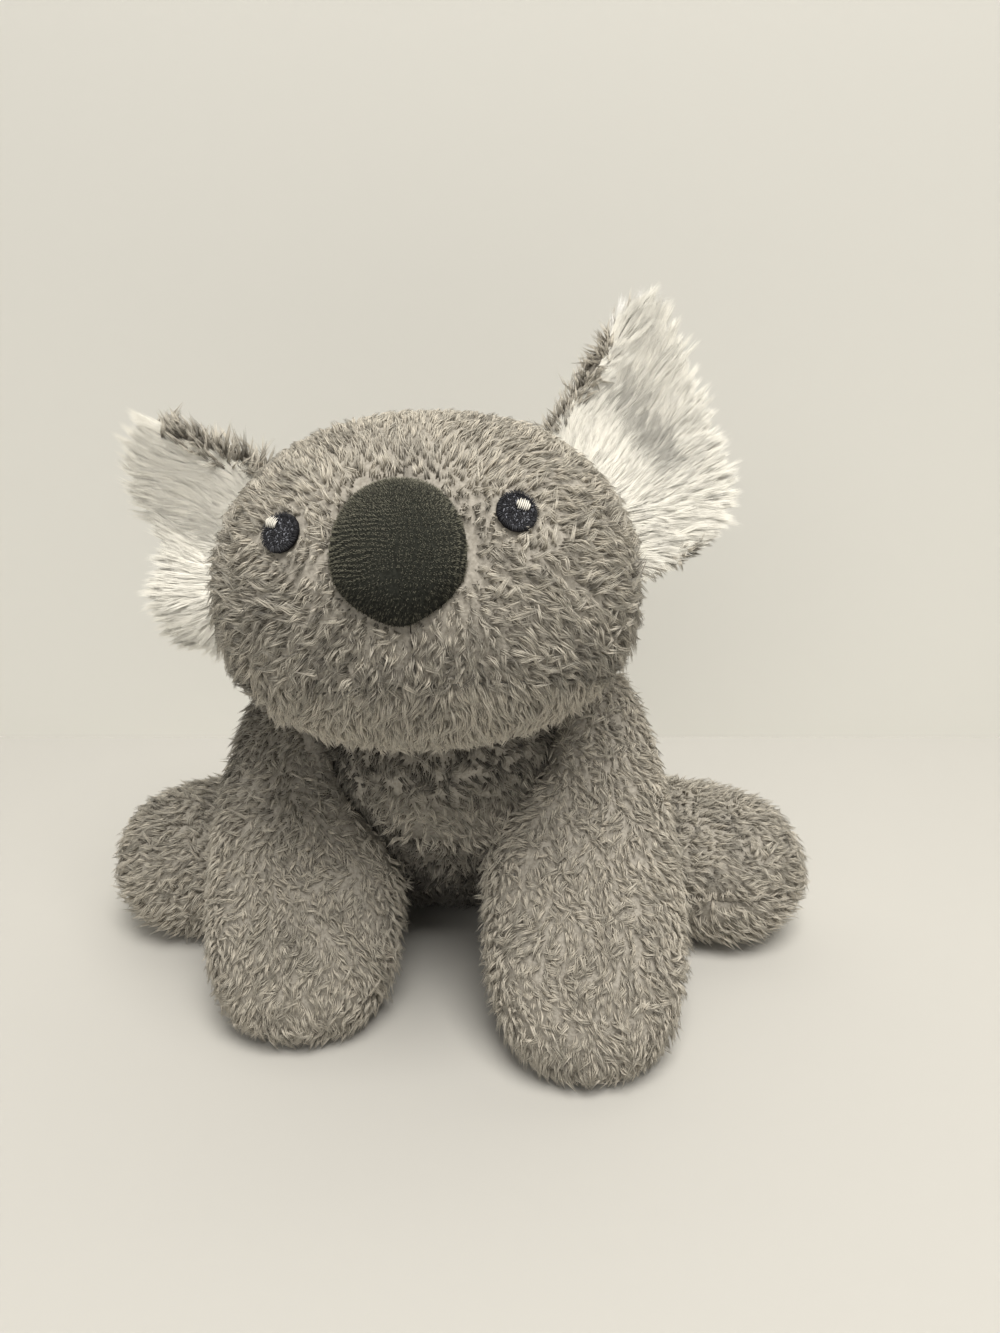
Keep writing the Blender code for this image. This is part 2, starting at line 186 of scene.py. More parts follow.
# Colours of strands: at the root, along the body, at the tip, and of the odd strand
GREY = (0.380, 0.354, 0.306), (0.650, 0.611, 0.530), (0.760, 0.720, 0.632), (0.570, 0.515, 0.434)
CREAM = (0.950, 0.930, 0.872), (0.985, 0.960, 0.868), (0.995, 0.976, 0.898), (0.975, 0.942, 0.838)
CHARCOAL = (0.040, 0.040, 0.032), (0.200, 0.194, 0.148), (0.460, 0.446, 0.354), (0.150, 0.147, 0.114)
# Colours of thread: dark, light and in the twist; on black thread the light colour is a painted sheen
BLACK_THREAD = (0.004, 0.004, 0.006), (0.260, 0.270, 0.310), (0.040, 0.042, 0.052)
CREAM_THREAD = (0.700, 0.670, 0.590), (0.880, 0.860, 0.800), (0.930, 0.920, 0.880)
# Colours of the cloth under the pile and of the filling: two that the grain mixes, but for an ear's inner
# sheet one inside and one at its rim
GREY_CLOTH = (0.300, 0.278, 0.241), (0.440, 0.412, 0.365)
CHARCOAL_CLOTH = (0.012, 0.013, 0.010), (0.030, 0.032, 0.026)
BLACK_CLOTH = (0.006, 0.006, 0.008), (0.016, 0.016, 0.020)
INNER_CLOTH = (0.880, 0.855, 0.790), (0.370, 0.345, 0.303)
FIBRE = (0.62, 0.61, 0.58), (0.88, 0.87, 0.84)

MAP = "OFBake"


# Vectors and shares


def unit(v):
    return v / np.maximum(np.linalg.norm(v, axis=-1, keepdims=True), 1e-12)


def dot(a, b):
    return (a * b).sum(-1, keepdims=True)


def flat(v, n):
    """The part of v along the surface with normal n."""
    return v - n * dot(v, n)


def share(x, nought, one):
    """From 0 where x is nought to 1 where it is one, and level beyond them."""
    return np.clip((x - nought) / (one - nought), 0.0, 1.0)


def bell(x, wide, power=2):
    """From 1 where x is 0 to 0 well beyond wide."""
    return np.exp(-((x / wide) ** power))


def step(x, wide):
    """From 0 well below 0 to 1 well above it, in about wide."""
    return 1.0 / (1.0 + np.exp(-x / wide))


def off(p, centre):
    """The ways to places from a centre."""
    return unit(p - centre)


def near_point(p, point, wide, power):
    """From 0 far off a point to 1 at it."""
    return bell(np.linalg.norm(p - point, axis=1), wide, power)


def near_line(p, start, end, wide):
    """From 0 far off a straight line between two points to 1 on it."""
    run = end - start
    along = share((p - start) @ run, 0.0, run @ run)[:, None]
    return bell(np.linalg.norm(p - start - along * run, axis=1), wide)


class Waves:
    """Smooth noise over space, of about one size."""

    def __init__(self, seed, size, many=7):
        rng = np.random.default_rng(seed)
        bearings = unit(rng.normal(size=(3, many, 3)))
        self.k = bearings * (2 * math.pi / size) * rng.uniform(0.6, 1.5, (3, many, 1))
        self.phase = rng.uniform(0, 2 * math.pi, (3, many))
        self.scale = math.sqrt(2.0 / many)

    def __call__(self, p):
        return np.stack([np.sin(p @ self.k[i].T + self.phase[i]).sum(1) for i in range(3)], 1) * self.scale


COARSE = Waves(5, 0.019)
FINE = Waves(8, 0.007)
PATCH = Waves(11, 0.030)


def patches(p, depth):
    return PATCH(p)[:, 0] * depth


# Materials


class Val:
    """A shader socket that takes part in sums as a number does."""

    def __init__(self, tree, socket):
        self.tree = tree
        self.socket = socket

    def op(self, kind, *values):
        node = self.tree.nodes.new("ShaderNodeMath")
        node.operation = kind
        for slot, value in zip(node.inputs, values):
            plug(self.tree, slot, value)
        return Val(self.tree, node.outputs[0])

    def __add__(self, other):
        return self.op("ADD", self, other)

    def __radd__(self, other):
        return self.op("ADD", other, self)

    def __mul__(self, other):
        return self.op("MULTIPLY", self, other)

    def __rmul__(self, other):
        return self.op("MULTIPLY", other, self)

    def wave(self):
        """Its sine, brought between 0 and 1."""
        return self.op("SINE", self) * 0.5 + 0.5

    def clipped(self):
        return self.op("MINIMUM", self.op("MAXIMUM", self, 0.0), 1.0)


def plug(tree, slot, value):
    if isinstance(value, Val):
        tree.links.new(value.socket, slot)
    elif slot.type == "RGBA" and len(value) == 3:
        slot.default_value = (*value, 1.0)
    else:
        slot.default_value = value


class Shader:
    """A material being wired up."""

    def __init__(self, name, roughness, sheen=0.0):
        self.material = bpy.data.materials.new(name)
        self.material.use_nodes = True
        self.tree = self.material.node_tree
        self.surface = self.tree.nodes["Principled BSDF"]
        self.surface.inputs["Roughness"].default_value = roughness
        self.surface.inputs["Sheen Weight"].default_value = sheen
        self.surface.inputs["Specular IOR Level"].default_value = 0.25

    def add(self, kind, settings, inputs, out=0):
        node = self.tree.nodes.new("ShaderNode" + kind)
        for key, value in settings.items():
            setattr(node, key, value)
        for key, value in inputs.items():
            plug(self.tree, node.inputs[key], value)
        return Val(self.tree, node.outputs[out])

    def where(self):
        return self.add("TexCoord", {}, {}, "Object")

    def parts(self, vector):
        node = self.tree.nodes.new("ShaderNodeSeparateXYZ")
        plug(self.tree, node.inputs[0], vector)
        return [Val(self.tree, out) for out in node.outputs]

    def strand_map(self):
        """Across the map runs each strand's own tone, and up it the way from root to tip."""
        tone, up, _ = self.parts(self.add("UVMap", {"uv_map": MAP}, {}))
        return tone, up

    def noise(self, scale, detail=3.0):
        return self.add("TexNoise", {}, {"Vector": self.where(), "Scale": scale, "Detail": detail})

    def mix(self, factor, a, b):
        return self.add("Mix", {"data_type": "RGBA"}, {"Factor": factor, 6: a, 7: b}, 2)

    def ramp(self, value, low, high):
        settings = {"interpolation_type": "SMOOTHSTEP"}
        return self.add("MapRange", settings, {"Value": value, "From Min": low, "From Max": high})

    def relief(self, height, distance, strength):
        bump = self.add("Bump", {}, {"Height": height, "Distance": distance, "Strength": strength})
        self.set("Normal", bump)

    def set(self, key, value):
        plug(self.tree, self.surface.inputs[key], value)


def pile_material(name, root, body, tip, other, roughness=0.7, shade=0.82, sheen=0.1):
    made = Shader(name, roughness, sheen)
    tone, up = made.strand_map()
    colour = made.mix(made.ramp(up, 0.0, 0.45), root, body)
    colour = made.mix(made.ramp(up, 0.40, 1.0), colour, tip)
    colour = made.mix((tone * 61.0).wave() * 0.45, colour, other)
    # Tone mixes a strand towards black: random tone, and on some nodes painted shade
    made.set("Base Color", made.mix(made.ramp(tone, 0.0, 1.0) * shade, colour, (0.0, 0.0, 0.0)))
    return made.material


def cloth_material(name, low, high, scale=900.0):
    """Knitted backing under a pile, with the stubble of cut fibres."""
    made = Shader(name, 0.95)
    grain = made.noise(scale, 4.0)
    made.set("Base Color", made.mix(made.ramp(grain, 0.3, 0.7), low, high))
    made.relief(grain, 0.4 * MM, 0.8)
    return made.material


def rim_material(name, ear, inner, outer):
    """An ear's pale backing, turning grey towards its upper edge."""
    made = Shader(name, 0.95)
    grain = made.noise(900.0, 4.0)
    slope, level = ear.edge_plane()
    x, y, z = made.parts(made.where())
    inside = x * slope[0] + y * slope[1] + z * slope[2] + level
    pale = made.ramp(inside, BRIM_WIDE[ear.side] + 0.5 * MM, BRIM_WIDE[ear.side] + 2.0 * MM)
    made.set("Base Color", made.mix(grain * 0.15, made.mix(pale, outer, inner), outer))
    made.relief(grain, 0.4 * MM, 0.8)
    return made.material


def thread_material(name, dark, light, speck):
    made = Shader(name, 0.50)
    tone, up = made.strand_map()
    twist = (up * 70.0 + tone * 300.0).wave()
    colour = made.mix(tone, dark, light)
    made.set("Base Color", made.mix(made.ramp(twist, 0.55, 1.0) * 0.25, colour, speck))
    return made.material


def fibre_material(name, low, high):
    """Loose crimped filling."""
    made = Shader(name, 1.0)
    wisps = made.noise(260.0, 6.0)
    made.set("Base Color", made.mix(wisps, low, high))
    made.relief(wisps, 1.2 * MM, 0.9)
    return made.material


# Pieces


def new_piece(name, mesh, material, body):
    obj = bpy.data.objects.new(name, mesh)
    bpy.context.scene.collection.objects.link(obj)
    mesh.materials.clear()
    mesh.materials.append(material)
    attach(obj, body)
    return obj


def merged_copy(name, node):
    """A node's mesh with its split corners joined."""
    mesh = bpy.data.meshes.new(name)
    bm = bmesh.new()
    bm.from_mesh(frame["nodes"][node].data)
    bmesh.ops.remove_doubles(bm, verts=bm.verts, dist=0.01 * MM)
    bmesh.ops.recalc_face_normals(bm, faces=bm.faces)
    bm.to_mesh(mesh)
    bm.free()
    mesh.shade_smooth()
    mesh.set_sharp_from_angle(angle=math.radians(40))
    return mesh


def skin(node, ending, material, body):
    """What stands in for a node: its own shape, on which pile or stitches are set."""
    made = new_piece(node + ending, merged_copy(node + ending, node), material, body)
    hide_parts(node)
    return made


def spike(rings):
    """One strand: a pointed three-sided spike from z = 0 to z = 1, as its corners and faces."""
    bm = bmesh.new()
    lift = Matrix.Translation((0, 0, 0.5))
    bmesh.ops.create_cone(bm, cap_ends=True, segments=3, radius1=1.0, radius2=0.0, depth=1.0, matrix=lift)
    for height in rings:
        geom = bm.verts[:] + bm.edges[:] + bm.faces[:]
        bmesh.ops.bisect_plane(bm, geom=geom, plane_co=(0, 0, height), plane_no=(0, 0, 1))
    bmesh.ops.triangulate(bm, faces=bm.faces)
    bmesh.ops.recalc_face_normals(bm, faces=bm.faces)
    bm.verts.index_update()
    points = np.array([v.co for v in bm.verts])
    faces = np.array([[v.index for v in f.verts] for f in bm.faces])
    bm.free()
    return points, faces


def strands_mesh(name, pile, roots, middles, tips, side, radius, tones, ground):
    """One mesh of all strands, each bent from its root by its middle to its tip. Where the pile is soft, a
    strand is lit partly as the ground under it."""
    points, faces = spike(pile.rings)
    s = points[:, 2][None, :, None]
    bearing = np.arctan2(points[:, 1], points[:, 0])[None, :, None]
    along = unit(tips - roots)
    u = unit(side - along * dot(side, along))
    v = np.cross(along, u)
    width = np.where(s > 0.999, 0.0, 1.0 - s * s) * radius[:, None, None]
    path = (1 - s) ** 2 * roots[:, None] + 2 * s * (1 - s) * middles[:, None] + s**2 * tips[:, None]
    corners = path + width * (np.cos(bearing) * u[:, None] + pile.thick * np.sin(bearing) * v[:, None])
    z = corners[..., 2]
    corners[..., 2] = FLOOR_SOFT * np.logaddexp(0.0, z / FLOOR_SOFT)
    count, many = len(roots), len(points)
    all_faces = (faces[None] + (np.arange(count) * many)[:, None, None]).reshape(-1, 3)
    turn = (bearing[0, :, 0] / (2 * math.pi)) % 1.0
    across = tones[:, None] * 0.96 + 0.02 + 0.012 * turn[None]
    up = np.broadcast_to(0.02 + 0.96 * s[0, :, 0] + 0.012 * turn, (count, many))
    maps = np.stack([across, up], -1).reshape(-1, 2)
    mesh = bpy.data.meshes.new(name)
    mesh.vertices.add(count * many)
    mesh.vertices.foreach_set("co", corners.astype(np.float32).ravel())
    mesh.loops.add(all_faces.size)
    mesh.loops.foreach_set("vertex_index", all_faces.ravel().astype(np.int32))
    mesh.polygons.add(len(all_faces))
    mesh.polygons.foreach_set("loop_start", np.arange(0, all_faces.size, 3, dtype=np.int32))
    layer = mesh.uv_layers.new(name=MAP)
    layer.data.foreach_set("uv", maps[all_faces.ravel()].astype(np.float32).ravel())
    mesh.update(calc_edges=True)
    mesh.shade_smooth()
    if pile.soft:
        rounded = unit(np.cos(bearing) * u[:, None] + np.sin(bearing) * v[:, None])
        lit = unit(rounded * (1.0 - pile.soft) + ground[:, None] * pile.soft)
        mesh.normals_split_custom_set_from_vertices(lit.reshape(-1, 3).tolist())
    return mesh


# Growing


class Ground:
    """The outside of a node on which pile stands: roots with smooth normals and the room above them."""

    def __init__(self, node, spacing, seed):
        mesh = merged_copy("ground", node)
        mesh.calc_loop_triangles()
        co = np.array([v.co for v in mesh.vertices])
        tri = np.array([t.vertices[:] for t in mesh.loop_triangles])
        bpy.data.meshes.remove(mesh)
        cross = np.cross(co[tri[:, 1]] - co[tri[:, 0]], co[tri[:, 2]] - co[tri[:, 0]])
        area = np.linalg.norm(cross, axis=1) / 2
        others = blockers(node)
        above_faces = zip(co[tri].mean(1), unit(cross))
        open_face = np.array([room(others, middle, facing) > LEAST_ROOM for middle, facing in above_faces])
        normals = np.zeros_like(co)
        for k in range(3):
            np.add.at(normals, tri[open_face, k], cross[open_face])
        normals = unit(normals)
        self.rng = np.random.default_rng(seed)
        keep = np.where(open_face & (area > 0))[0]
        count = int(area[keep].sum() / spacing**2 * TRIES)
        pick = self.rng.choice(keep, count, p=area[keep] / area[keep].sum())
        a, b = self.rng.random((2, count, 1))
        over = (a + b) > 1
        a, b = np.where(over, 1 - a, a), np.where(over, 1 - b, b)
        c0, c1, c2 = (co[tri[pick, k]] for k in range(3))
        n0, n1, n2 = (normals[tri[pick, k]] for k in range(3))
        at = c0 + (c1 - c0) * a + (c2 - c0) * b
        normal = unit(n0 + (n1 - n0) * a + (n2 - n0) * b)
        chosen = spread(at, spacing)
        self.at, self.normal = at[chosen], normal[chosen]
        to_others = np.array([room(others, p, n) for p, n in zip(self.at, self.normal)])
        to_floor = self.at[:, 2] / np.maximum(-self.normal[:, 2], 1e-3)
        self.room = np.minimum(to_others, to_floor)
        self.keep(self.room > LEAST_ROOM)

    def keep(self, wanted):
        self.at, self.normal, self.room = self.at[wanted], self.normal[wanted], self.room[wanted]


def blockers(node):
    """Everything but one node, as one tree for rays."""
    corners, faces, first = [], [], 0
    for name, obj in frame["nodes"].items():
        if name != node:
            mesh = obj.data
            corners += [v.co for v in mesh.vertices]
            faces += [[first + i for i in f.vertices] for f in mesh.polygons]
            first += len(mesh.vertices)
    return BVHTree.FromPolygons(corners, faces)


def room(tree, at, normal):
    """How far it is from a place straight out to the nearest thing."""
    at, normal = Vector(at), Vector(normal)
    hit = tree.ray_cast(at + normal * 0.02 * MM, normal, FAR)
    return hit[3] if hit[0] is not None else FAR


def spread(points, spacing):
    """Which points stay if none may be nearer to another than the spacing."""
    cells = {}
    chosen = []
    rows = points.tolist()
    limit = spacing * spacing
    around = list(product((-1, 0, 1), repeat=3))
    for i, (x, y, z) in enumerate(np.floor(points / spacing).astype(int).tolist()):
        px, py, pz = rows[i]
        near = (q for dx, dy, dz in around for q in cells.get((x + dx, y + dy, z + dz), ()))
        if all((px - qx) ** 2 + (py - qy) ** 2 + (pz - qz) ** 2 >= limit for qx, qy, qz in near):
            cells.setdefault((x, y, z), []).append(rows[i])
            chosen.append(i)
    return np.array(chosen)


@dataclass
class Pile:
    """How one kind of pile grows, lock by lock."""

    spacing: float  # between locks
    length: float
    lean: float  # of a lock from upright, in degrees
    strands: int  # in a lock
    radius: float  # of a strand at its root
    mess: float  # how far locks stray from the combing
    curl: float  # how far a lock bends sideways
    gather: float = 0.16 * MM  # how far a strand's tip strays from its lock
    filler: float = 0.30  # the share of short strands between locks
    apart: float = 0.30  # how far a lock's tips stand apart, against its roots
    rise: float = 0.45  # a lock's lean halfway up, against that at its tip
    thick: float = 0.8  # a strand's thickness, against its width
    tousle: float = 9.0  # how unevenly locks lean, in degrees
    soft: float = 0.0  # how far strands are lit as the ground under them
    rings: tuple = (0.45,)  # heights of the rings of corners on a strand


FUR = Pile(1.66 * MM, 5.7 * MM, 76.0, 8, 0.200 * MM, 0.60, 0.50, filler=0.35, apart=0.25)
TRUNK_FUR = Pile(1.95 * MM, 6.0 * MM, 58.0, 7, 0.235 * MM, 0.65, 0.50, apart=0.22)
UNDER_FUR = Pile(2.00 * MM, 6.0 * MM, 58.0, 6, 0.275 * MM, 0.60, 0.40, filler=0.35)
CHIN_FUR = Pile(1.66 * MM, 6.2 * MM, 64.0, 7, 0.210 * MM, 0.35, 0.18)
EAR_FUR = Pile(1.75 * MM, 6.6 * MM, 58.0, 7, 0.220 * MM, 0.50, 0.28)
BRIM_FUR = Pile(1.10 * MM, 6.0 * MM, 54.0, 6, 0.20 * MM, 0.55, 0.30)
NAP = Pile(0.34 * MM, 0.75 * MM, 14.0, 2, 0.15 * MM, 0.30, 0.10, 0.04 * MM, filler=0.0, apart=0.16, rings=())
LIT_SILK = Pile(
    1.12 * MM, 8.8 * MM, 79.0, 30, 0.140 * MM, 0.20, 0.10, 0.34 * MM,
    filler=0.0, apart=0.95, rise=0.92, thick=0.35, tousle=3.0, soft=0.55, rings=(),
)
SILK = {"left": LIT_SILK, "right": replace(LIT_SILK, soft=0.85)}


def whole(p):
    return np.ones(len(p))


def nothing(p):
    return np.zeros(len(p))


@dataclass
class Coat:
    """The pile of one node. What changes over it is given by functions of places."""

    node: str
    body: str
    pile: Pile
    lay: Callable  # the combing
    # shade gives the tone, which is random and, on some nodes, painted shade
    shade: Callable  # the tone, from 0 to 1
    fit: Callable = whole  # the share of its length
    lift: Callable = nothing  # how high the roots are raised
    calm: Callable = nothing  # how evenly it lies, from 0 to 1


def lifted(lift, p, n):
    """Places raised along their normals by lift, and the normals of the ground so raised."""
    aside = 0.2 * MM
    first = unit(np.cross(n, np.array((0.31, 0.62, 0.72))))
    height = lift(p)
    turned = n
    for way in (first, np.cross(n, first)):
        slope = (lift(p + way * aside) - height) / aside
        turned = turned - way * slope[:, None]
    return p + n * height[:, None], unit(turned)


def grow(name, coat, material, seed):
    """Sows locks on the outside of a coat's node."""
    pile = coat.pile
    ground = Ground(coat.node, pile.spacing, seed)
    ground.keep(coat.fit(ground.at) > LEAST_SHARE)
    rng = ground.rng
    at, normal = lifted(coat.lift, ground.at, ground.normal)
    count, many = len(at), pile.strands
    wild = 1.0 - coat.calm(at)[:, None]
    comb = coat.lay(at)
    pull = np.clip(np.linalg.norm(comb, axis=1, keepdims=True), *PULLS)
    combed = unit(flat(unit(comb), normal))
    swirl = flat(COARSE(at), normal)
    stray = flat(FINE(at) * 0.5 + rng.normal(size=(count, 3)) * 0.35, normal)
    along = unit(combed + (swirl * 0.8 + stray) * pile.mess * wild)
    side = np.cross(normal, along)
    room_share = np.clip(ground.room / FULL_ROOM, CROWDED_SHARE, 1.0)[:, None]
    length = pile.length * rng.uniform(*LOCK_LENGTHS, (count, 1)) * room_share * coat.fit(at)[:, None]
    tousled = rng.normal(size=(count, 1)) * pile.tousle * wild
    lean = np.clip(np.radians(pile.lean + tousled + (1 - room_share) * CROWDED_LEAN) * pull, *LEANS)
    bend = rng.normal(size=(count, 1)) * pile.curl * wild
    point = at + (normal * np.cos(lean) + along * np.sin(lean) + side * bend * 0.5) * length
    early = lean * pile.rise
    belly = at + (normal * np.cos(early) + along * np.sin(early) - side * bend) * length * 0.5
    spin = rng.uniform(0, 2 * math.pi, (count, many, 1))
    reach = np.sqrt(rng.random((count, many, 1))) * pile.spacing * LOCK_REACH
    offset = (np.cos(spin) * along[:, None] + np.sin(spin) * side[:, None]) * reach
    roots = at[:, None] + offset - normal[:, None] * pile.radius
    loose = rng.normal(size=(count, many, 3)) * pile.gather
    own = rng.uniform(*STRAND_LENGTHS, (count, many, 1))
    filler = rng.random((count, many, 1)) < pile.filler
    own = np.where(filler, own * FILLER_LENGTH, own)
    apart = np.where(filler, FILLER_APART, pile.apart)
    tips = at[:, None] + (point - at)[:, None] * own + offset * apart + loose
    middles = at[:, None] + (belly - at)[:, None] * own + offset * 0.85 + loose * 0.4
    tone = coat.shade(at)[:, None] + rng.normal(size=(count, 1)) * LOCK_TONE
    tone = np.clip(tone + rng.normal(size=(count, many)) * STRAND_TONE, 0.0, 1.0)
    radius = pile.radius * rng.uniform(*STRAND_WIDTHS, count * many)
    sides = np.broadcast_to(side[:, None], roots.shape)
    bends = [line.reshape(-1, 3) for line in (roots, middles, tips, sides)]
    under = np.repeat(normal, many, axis=0)
    mesh = strands_mesh(name, pile, *bends, radius, tone.ravel(), under)
    return new_piece(name, mesh, material, coat.body)


def even(level):
    def shade(p):
        return level + patches(p, 0.06)

    return shade


# Head


EYES = [np.mean(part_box("eye_" + side), axis=0) for side in SIDES]


def head_height(p):
    return (p - HEAD_AT) @ HEAD_UP


def lay_face(p):
    """Out from the nose, parted under it, drooping on the cheeks and turned away from the eyes."""
    high = head_height(p)
    low = share(high, *CHEEKS)[:, None]
    across = ((p - HEAD_AT) @ HEAD_ACROSS)[:, None]
    seam = bell(across, PARTING) * low * np.sign(across)
    lay = unit(off(p, NOSE_AT) + DOWN * low * 0.35 - HEAD_ACROSS * seam * 0.35)
    lay = lay * (0.75 + 0.25 * share(high, *FOREHEAD))[:, None]
    near = near_point(p, NOSE_AT, ROUND_NOSE, 8)[:, None]
    lay = lay * (1.0 - 0.75 * near) + (COARSE(p) + FINE(p)) * 0.10 * near
    for eye in EYES:
        close = near_point(p, eye, ROUND_EYE, 4)[:, None]
        lay = lay * (1.0 - close) + off(p, eye) * close * 0.5
    return lay


def fit_face(p):
    """Shorter round the eyes and at the nose."""
    length = 1.0 - 0.30 * near_point(p, NOSE_AT, SHORT_AT_NOSE, 6)
    for eye in EYES:
        length = length * (1.0 - 0.45 * near_point(p, eye, ROUND_EYE, 4))
    return length


def calm_face(p):
    """The pile lies evenly on the forehead."""
    return 0.60 * share(head_height(p), *FOREHEAD_CALM)


def shade_face(p):
    """Painted shade: a little deeper on the cheeks and under the nose than on the forehead."""
    return 0.24 + 0.12 * share(head_height(p), *CHEEK_TONE) + patches(p, 0.05)


def lay_back(p):
    return off(p, NOSE_AT) + DOWN * 0.5


def lay_chin(p):
    return DOWN - FRONT * 0.35 + off(p, HEAD_AT) * 0.3


# Trunk


def lay_trunk(p):
    return DOWN + np.sign(p[:, :1]) * np.array((0.25, 0.0, 0.0))


def above_folds(p):
    """For each fold of the chest, how high a place lies above its lip, its depth there, and its painted
    shade.
    """
    front = share(p[:, 1], *CHEST_FRONT)
    aside = np.abs(p[:, 0] - CHEST_MIDDLE) / CHEST_HALF
    fade = share(aside, *CHEST_FADE)
    for level, climb, depth, shade in CHEST_FOLDS:
        wave = LIP_WAVE * np.sin(p[:, 0] * LIP_TURNS + level * 900.0)
        lip = level + climb * aside**4 + wave
        yield p[:, 2] - lip, depth * front * fade, shade


def along_folds(p, height, wide):
    """From 0 far off to 1 on lines that run at a height above the lips of the chest's folds."""
    return np.maximum.reduce([bell(above - height, wide) for above, _, _ in above_folds(p)])


def lift_chest(p):
    """The rolls of the chest: each swells down to its lip and drops back sharply under it."""
    rolls = []
    for above, depth, _ in above_folds(p):
        swell = bell(np.clip(above, 0.0, None), ROLL_HIGH)
        rolls.append(depth * swell * step(above + 0.0010, LIP_SHARP))
    return np.maximum.reduce(rolls)


def fit_chest(p):
    """Shorter in the hollow under each fold."""
    return 0.90 - 0.55 * along_folds(p, -0.0045, 0.0028)


def lay_chest(p):
    """Downwards, standing out over each fold."""
    return lay_trunk(p) + FRONT * 0.4 * along_folds(p, 0.0010, 0.0025)[:, None]


def shade_chest(p):
    """Painted shade: darker under the chin, in the head's shadow, and, step by step, under each roll."""
    tone = 0.20 + 0.54 * share(p[:, 2], *UNDER_CHIN)
    for above, _, shade in above_folds(p):
        tone = tone + shade * step(-above, LIP_SHARP)
    return tone


# Limbs


def lay_limb(start, end):
    along = unit(end - start)

    def lay(p):
        return unit(along * 0.8 + off(p, (start + end) / 2) * 0.6) * 0.77

    return lay


def shade_arm(p):
    """Painted shade: deeper at the shoulders than on the paws, and most so on the toy's right."""
    deep = np.where(p[:, 0] < 0, SHOULDER_SHADE["right"], SHOULDER_SHADE["left"])
    return 0.10 + deep * share(p[:, 2], *SHOULDER_HIGH) + patches(p, 0.05)


def puckers(p):
    return np.maximum.reduce([near_line(p, *ends, PUCKER_WIDE) for ends in PUCKERS])


def fit_leg(p):
    return 1.0 - 0.6 * puckers(p)


def shade_leg(p):
    """Painted shade: deeper on top of the thigh, and most so in the puckers."""
    return 0.04 + 0.28 * share(p[:, 2], *THIGH_HIGH) + 0.45 * puckers(p)


# Ears


class Ear:
    """An ear's frame: the middle of its seam with the head, the way up the seam and the way out from it."""

    def __init__(self, side):
        self.side = side
        joint = next(j for j in frame["joints"] if j["name"] == f"ear_{side}_fold")
        self.middle = np.array(joint["pos_m"])
        self.up = unit(np.array(joint["axis"]))
        self.out = unit(flat(EAR_OUT[side], self.up))

    def rise(self, p):
        return (p - self.middle) @ self.up

    def reach(self, p):
        return (p - self.middle) @ self.out

    def inside(self, p, sign, rim):
        """How far a place lies in from the ear's upper edge, or from its lower one where sign is -1."""
        base = np.array((sign * EAR_SEAM[self.side], 0.0))
        run = unit(np.array(rim[self.side]) - base)
        spot = np.stack([self.rise(p), self.reach(p)], 1) - base
        return sign * (run[0] * spot[:, 1] - run[1] * spot[:, 0])

    def top(self, p):
        return self.inside(p, 1.0, EAR_TOP)

    def low(self, p):
        return self.inside(p, -1.0, EAR_LOW)

    def edge_plane(self):
        """How far in from the upper edge a place is, as the factors of its x, y and z and a level to add."""
        level, *rest = self.top(np.vstack([np.zeros((1, 3)), np.eye(3)]))
        return [float(r - level) for r in rest], float(level)

    def near_top(self, p, wide):
        return bell(np.clip(self.top(p), 0.0, None), wide, 1)

    def near_low(self, p, wide, power=1):
        return bell(np.clip(self.low(p), 0.0, None), wide, power)

    def crease(self, p):
        return near_line(p, *EAR_CREASE[self.side])

    def brimmed(self, p):
        return self.reach(p) < BRIM_OUT[self.side]

    def fan(self, p):
        """Out from the seam to all sides."""
        return off(p, self.middle - self.out * 0.012)

    def lay_back(self, p):
        """Fanned out from the seam, and over the upper and lower edges."""
        over = self.near_top(p, 0.008) * 2.2 - self.near_low(p, 0.005) * 0.5
        return self.fan(p) + self.up * over[:, None]

    def fit_back(self, p):
        """Shorter along the lower edge."""
        return 1.0 - 0.45 * self.near_low(p, 0.005, 2)

    def lay_silk(self, p):
        """Fanned out from the seam, and combed away from the upper edge."""
        return self.fan(p) - self.up * self.near_top(p, 0.006)[:, None] * 0.4

    def fit_silk(self, p):
        """No silk along the upper edge, which grey pile covers, nor on the left ear's lower one."""
        inside = np.where(self.brimmed(p), (self.top(p) - BRIM_WIDE[self.side]) / 0.0060, 1.0)
        if self.side == "left":
            inside = np.minimum(inside, (self.low(p) - 0.0008) / 0.0040)
        length = np.where(inside > 0, 0.50 + 0.50 * np.clip(inside, 0.0, 1.0), 0.0)
        return length * (1.0 - 0.20 * self.crease(p))

    def shade_silk(self, p):
        """Painted shade: deeper in the crease, and on the left ear towards its upper tip."""
        tone, tip, deep = SILK_TONE[self.side]
        return tone + tip * share(self.rise(p), 0.0, 0.030) + deep * self.crease(p)

    def fit_brim(self, p):
        """Grey pile turned over the upper edge as far as near the tip, and over the left ear's lower one."""
        upper = (self.top(p) < BRIM_WIDE[self.side] + 0.0022) & self.brimmed(p)
        lower = (self.low(p) < 0.0018) & (self.side == "left")
        outer, added = BRIM_LENGTH[self.side]
        length = outer + added * bell(np.clip(self.reach(p), 0.0, None), 0.018)
        return np.where(upper, length, np.where(lower, 0.6, 0.0))


# Fur


